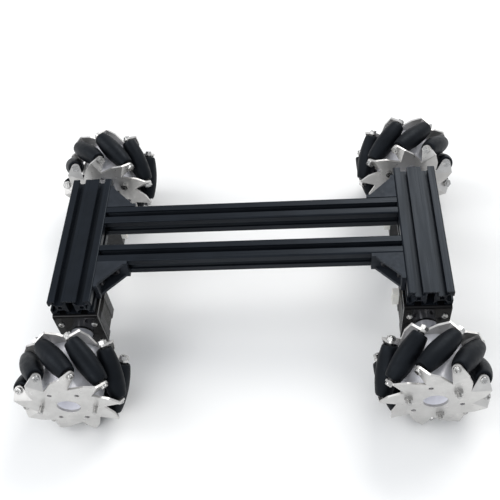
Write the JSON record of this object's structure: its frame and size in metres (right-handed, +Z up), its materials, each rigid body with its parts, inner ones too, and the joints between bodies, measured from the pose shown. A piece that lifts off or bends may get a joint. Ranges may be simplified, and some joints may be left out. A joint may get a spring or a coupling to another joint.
{
  "type": "mecanum robot chassis",
  "caption": "Robot chassis of slotted aluminium rails and cross members, with a stepper motor and a roller wheel at each corner.",
  "frame": {"origin": "on the ground, in the middle of the four wheels", "axes": "+X along the cross members to the right, +Y along the side rails to the rear, +Z up"},
  "size_m": [0.4176, 0.3142, 0.1],
  "materials": {
    "extrusion": "satin",
    "cast_bracket": "satin",
    "black_steel": "satin",
    "plain_steel": "satin",
    "black_plate": "gloss",
    "motor_cap": "satin",
    "lamination": "satin",
    "white_plastic": "satin",
    "wheel_plate": "satin",
    "polished_hub": "gloss",
    "roller_rubber": "satin"
  },
  "bodies": {
    "chassis": {"rail_left": "extrusion", "rail_right": "extrusion", "cross_member_front": "extrusion", "cross_member_rear": "extrusion", "corner_brackets": "cast_bracket", "frame_screws": "black_steel", "slot_nuts": "plain_steel", "motor_brackets": "black_plate", "motor_caps": "motor_cap", "motor_stators": "lamination", "motor_screws": "plain_steel", "motor_connectors": "white_plastic"},
    "wheel_front_left": {"wheel_front_left_plates": "wheel_plate", "wheel_front_left_drive": "polished_hub", "wheel_front_left_fasteners": "plain_steel"},
    "roller_front_left_1": {"roller_front_left_1": "roller_rubber"},
    "roller_front_left_2": {"roller_front_left_2": "roller_rubber"},
    "roller_front_left_3": {"roller_front_left_3": "roller_rubber"},
    "roller_front_left_4": {"roller_front_left_4": "roller_rubber"},
    "roller_front_left_5": {"roller_front_left_5": "roller_rubber"},
    "roller_front_left_6": {"roller_front_left_6": "roller_rubber"},
    "roller_front_left_7": {"roller_front_left_7": "roller_rubber"},
    "roller_front_left_8": {"roller_front_left_8": "roller_rubber"},
    "roller_front_left_9": {"roller_front_left_9": "roller_rubber"},
    "wheel_front_right": {"wheel_front_right_plates": "wheel_plate", "wheel_front_right_drive": "polished_hub", "wheel_front_right_fasteners": "plain_steel"},
    "roller_front_right_1": {"roller_front_right_1": "roller_rubber"},
    "roller_front_right_2": {"roller_front_right_2": "roller_rubber"},
    "roller_front_right_3": {"roller_front_right_3": "roller_rubber"},
    "roller_front_right_4": {"roller_front_right_4": "roller_rubber"},
    "roller_front_right_5": {"roller_front_right_5": "roller_rubber"},
    "roller_front_right_6": {"roller_front_right_6": "roller_rubber"},
    "roller_front_right_7": {"roller_front_right_7": "roller_rubber"},
    "roller_front_right_8": {"roller_front_right_8": "roller_rubber"},
    "roller_front_right_9": {"roller_front_right_9": "roller_rubber"},
    "wheel_rear_left": {"wheel_rear_left_plates": "wheel_plate", "wheel_rear_left_drive": "polished_hub", "wheel_rear_left_fasteners": "plain_steel"},
    "roller_rear_left_1": {"roller_rear_left_1": "roller_rubber"},
    "roller_rear_left_2": {"roller_rear_left_2": "roller_rubber"},
    "roller_rear_left_3": {"roller_rear_left_3": "roller_rubber"},
    "roller_rear_left_4": {"roller_rear_left_4": "roller_rubber"},
    "roller_rear_left_5": {"roller_rear_left_5": "roller_rubber"},
    "roller_rear_left_6": {"roller_rear_left_6": "roller_rubber"},
    "roller_rear_left_7": {"roller_rear_left_7": "roller_rubber"},
    "roller_rear_left_8": {"roller_rear_left_8": "roller_rubber"},
    "roller_rear_left_9": {"roller_rear_left_9": "roller_rubber"},
    "wheel_rear_right": {"wheel_rear_right_plates": "wheel_plate", "wheel_rear_right_drive": "polished_hub", "wheel_rear_right_fasteners": "plain_steel"},
    "roller_rear_right_1": {"roller_rear_right_1": "roller_rubber"},
    "roller_rear_right_2": {"roller_rear_right_2": "roller_rubber"},
    "roller_rear_right_3": {"roller_rear_right_3": "roller_rubber"},
    "roller_rear_right_4": {"roller_rear_right_4": "roller_rubber"},
    "roller_rear_right_5": {"roller_rear_right_5": "roller_rubber"},
    "roller_rear_right_6": {"roller_rear_right_6": "roller_rubber"},
    "roller_rear_right_7": {"roller_rear_right_7": "roller_rubber"},
    "roller_rear_right_8": {"roller_rear_right_8": "roller_rubber"},
    "roller_rear_right_9": {"roller_rear_right_9": "roller_rubber"}
  },
  "joints": [
    {"name": "front_left_wheel_spin", "type": "hinge", "parent": "chassis", "child": "wheel_front_left", "pos_m": [-0.15885, -0.125, 0.05], "axis": [0, 1, 0], "continuous": true},
    {"name": "front_left_roller_1_spin", "type": "hinge", "parent": "wheel_front_left", "child": "roller_front_left_1", "pos_m": [-0.121, -0.125, 0.0637], "axis": [-0.2407, 0.7071, 0.6649], "continuous": true},
    {"name": "front_left_roller_2_spin", "type": "hinge", "parent": "wheel_front_left", "child": "roller_front_left_2", "pos_m": [-0.13866, -0.125, 0.08482], "axis": [-0.6118, 0.7071, 0.3546], "continuous": true},
    {"name": "front_left_roller_3_spin", "type": "hinge", "parent": "wheel_front_left", "child": "roller_front_left_3", "pos_m": [-0.16577, -0.125, 0.08965], "axis": [-0.6966, 0.7071, -0.1216], "continuous": true},
    {"name": "front_left_roller_4_spin", "type": "hinge", "parent": "wheel_front_left", "child": "roller_front_left_4", "pos_m": [-0.18964, -0.125, 0.07593], "axis": [-0.4555, 0.7071, -0.5409], "continuous": true},
    {"name": "front_left_roller_5_spin", "type": "hinge", "parent": "wheel_front_left", "child": "roller_front_left_5", "pos_m": [-0.1991, -0.125, 0.05007], "axis": [-0.0012, 0.7071, -0.7071], "continuous": true},
    {"name": "front_left_roller_6_spin", "type": "hinge", "parent": "wheel_front_left", "child": "roller_front_left_6", "pos_m": [-0.18973, -0.125, 0.02418], "axis": [0.4536, 0.7071, -0.5425], "continuous": true},
    {"name": "front_left_roller_7_spin", "type": "hinge", "parent": "wheel_front_left", "child": "roller_front_left_7", "pos_m": [-0.16591, -0.125, 0.01037], "axis": [0.6961, 0.7071, -0.124], "continuous": true},
    {"name": "front_left_roller_8_spin", "type": "hinge", "parent": "wheel_front_left", "child": "roller_front_left_8", "pos_m": [-0.13879, -0.125, 0.01511], "axis": [0.613, 0.7071, 0.3525], "continuous": true},
    {"name": "front_left_roller_9_spin", "type": "hinge", "parent": "wheel_front_left", "child": "roller_front_left_9", "pos_m": [-0.12105, -0.125, 0.03617], "axis": [0.243, 0.7071, 0.664], "continuous": true},
    {"name": "front_right_wheel_spin", "type": "hinge", "parent": "chassis", "child": "wheel_front_right", "pos_m": [0.15885, -0.125, 0.05], "axis": [0, 1, 0], "continuous": true},
    {"name": "front_right_roller_1_spin", "type": "hinge", "parent": "wheel_front_right", "child": "roller_front_right_1", "pos_m": [0.19876, -0.125, 0.05518], "axis": [0.0911, 0.7071, -0.7012], "continuous": true},
    {"name": "front_right_roller_2_spin", "type": "hinge", "parent": "wheel_front_right", "child": "roller_front_right_2", "pos_m": [0.18609, -0.125, 0.07963], "axis": [0.5205, 0.7071, -0.4786], "continuous": true},
    {"name": "front_right_roller_3_spin", "type": "hinge", "parent": "wheel_front_right", "child": "roller_front_right_3", "pos_m": [0.16068, -0.125, 0.09021], "axis": [0.7064, 0.7071, -0.0321], "continuous": true},
    {"name": "front_right_roller_4_spin", "type": "hinge", "parent": "wheel_front_right", "child": "roller_front_right_4", "pos_m": [0.1344, -0.125, 0.08198], "axis": [0.5617, 0.7071, 0.4295], "continuous": true},
    {"name": "front_right_roller_5_spin", "type": "hinge", "parent": "wheel_front_right", "child": "roller_front_right_5", "pos_m": [0.11957, -0.125, 0.05878], "axis": [0.1543, 0.7071, 0.6901], "continuous": true},
    {"name": "front_right_roller_6_spin", "type": "hinge", "parent": "wheel_front_right", "child": "roller_front_right_6", "pos_m": [0.12312, -0.125, 0.03148], "axis": [-0.3254, 0.7071, 0.6278], "continuous": true},
    {"name": "front_right_roller_7_spin", "type": "hinge", "parent": "wheel_front_right", "child": "roller_front_right_7", "pos_m": [0.14338, -0.125, 0.01284], "axis": [-0.6528, 0.7071, 0.2717], "continuous": true},
    {"name": "front_right_roller_8_spin", "type": "hinge", "parent": "wheel_front_right", "child": "roller_front_right_8", "pos_m": [0.17089, -0.125, 0.01159], "axis": [-0.6747, 0.7071, -0.2115], "continuous": true},
    {"name": "front_right_roller_9_spin", "type": "hinge", "parent": "wheel_front_right", "child": "roller_front_right_9", "pos_m": [0.19276, -0.125, 0.02831], "axis": [-0.381, 0.7071, -0.5957], "continuous": true},
    {"name": "rear_left_wheel_spin", "type": "hinge", "parent": "chassis", "child": "wheel_rear_left", "pos_m": [-0.15885, 0.125, 0.05], "axis": [0, 1, 0], "continuous": true},
    {"name": "rear_left_roller_1_spin", "type": "hinge", "parent": "wheel_rear_left", "child": "roller_rear_left_1", "pos_m": [-0.12525, 0.125, 0.07216], "axis": [-0.3892, 0.7071, 0.5903], "continuous": true},
    {"name": "rear_left_roller_2_spin", "type": "hinge", "parent": "wheel_rear_left", "child": "roller_rear_left_2", "pos_m": [-0.14735, 0.125, 0.08857], "axis": [-0.6776, 0.7071, 0.202], "continuous": true},
    {"name": "rear_left_roller_3_spin", "type": "hinge", "parent": "wheel_rear_left", "child": "roller_rear_left_3", "pos_m": [-0.17484, 0.125, 0.08694], "axis": [-0.649, 0.7071, -0.2808], "continuous": true},
    {"name": "rear_left_roller_4_spin", "type": "hinge", "parent": "wheel_rear_left", "child": "roller_rear_left_4", "pos_m": [-0.19484, 0.125, 0.06802], "axis": [-0.3166, 0.7071, -0.6323], "continuous": true},
    {"name": "rear_left_roller_5_spin", "type": "hinge", "parent": "wheel_rear_left", "child": "roller_rear_left_5", "pos_m": [-0.198, 0.125, 0.04067], "axis": [0.1639, 0.7071, -0.6879], "continuous": true},
    {"name": "rear_left_roller_6_spin", "type": "hinge", "parent": "wheel_rear_left", "child": "roller_rear_left_6", "pos_m": [-0.18285, 0.125, 0.01769], "axis": [0.5677, 0.7071, -0.4216], "continuous": true},
    {"name": "rear_left_roller_7_spin", "type": "hinge", "parent": "wheel_rear_left", "child": "roller_rear_left_7", "pos_m": [-0.15646, 0.125, 0.00982], "axis": [0.7059, 0.7071, 0.0419], "continuous": true},
    {"name": "rear_left_roller_8_spin", "type": "hinge", "parent": "wheel_rear_left", "child": "roller_rear_left_8", "pos_m": [-0.13119, 0.125, 0.02076], "axis": [0.5138, 0.7071, 0.4858], "continuous": true},
    {"name": "rear_left_roller_9_spin", "type": "hinge", "parent": "wheel_rear_left", "child": "roller_rear_left_9", "pos_m": [-0.11887, 0.125, 0.04537], "axis": [0.0813, 0.7071, 0.7024], "continuous": true},
    {"name": "rear_right_wheel_spin", "type": "hinge", "parent": "chassis", "child": "wheel_rear_right", "pos_m": [0.15885, 0.125, 0.05], "axis": [0, 1, 0], "continuous": true},
    {"name": "rear_right_roller_1_spin", "type": "hinge", "parent": "wheel_rear_right", "child": "roller_rear_right_1", "pos_m": [0.19909, 0.125, 0.05091], "axis": [0.016, 0.7071, -0.7069], "continuous": true},
    {"name": "rear_right_roller_2_spin", "type": "hinge", "parent": "wheel_rear_right", "child": "roller_rear_right_2", "pos_m": [0.18909, 0.125, 0.07657], "axis": [0.4667, 0.7071, -0.5312], "continuous": true},
    {"name": "rear_right_roller_3_spin", "type": "hinge", "parent": "wheel_rear_right", "child": "roller_rear_right_3", "pos_m": [0.16494, 0.125, 0.08979], "axis": [0.699, 0.7071, -0.107], "continuous": true},
    {"name": "rear_right_roller_4_spin", "type": "hinge", "parent": "wheel_rear_right", "child": "roller_rear_right_4", "pos_m": [0.13794, 0.125, 0.08439], "axis": [0.6042, 0.7071, 0.3674], "continuous": true},
    {"name": "rear_right_roller_5_spin", "type": "hinge", "parent": "wheel_rear_right", "child": "roller_rear_right_5", "pos_m": [0.12072, 0.125, 0.0629], "axis": [0.2267, 0.7071, 0.6698], "continuous": true},
    {"name": "rear_right_roller_6_spin", "type": "hinge", "parent": "wheel_rear_right", "child": "roller_rear_right_6", "pos_m": [0.12135, 0.125, 0.03538], "axis": [-0.2569, 0.7071, 0.6588], "continuous": true},
    {"name": "rear_right_roller_7_spin", "type": "hinge", "parent": "wheel_rear_right", "child": "roller_rear_right_7", "pos_m": [0.13952, 0.125, 0.01469], "axis": [-0.6202, 0.7071, 0.3396], "continuous": true},
    {"name": "rear_right_roller_8_spin", "type": "hinge", "parent": "wheel_rear_right", "child": "roller_rear_right_8", "pos_m": [0.16674, 0.125, 0.01053], "axis": [-0.6934, 0.7071, -0.1386], "continuous": true},
    {"name": "rear_right_roller_9_spin", "type": "hinge", "parent": "wheel_rear_right", "child": "roller_rear_right_9", "pos_m": [0.19026, 0.125, 0.02483], "axis": [-0.4421, 0.7071, -0.5518], "continuous": true}
  ]
}
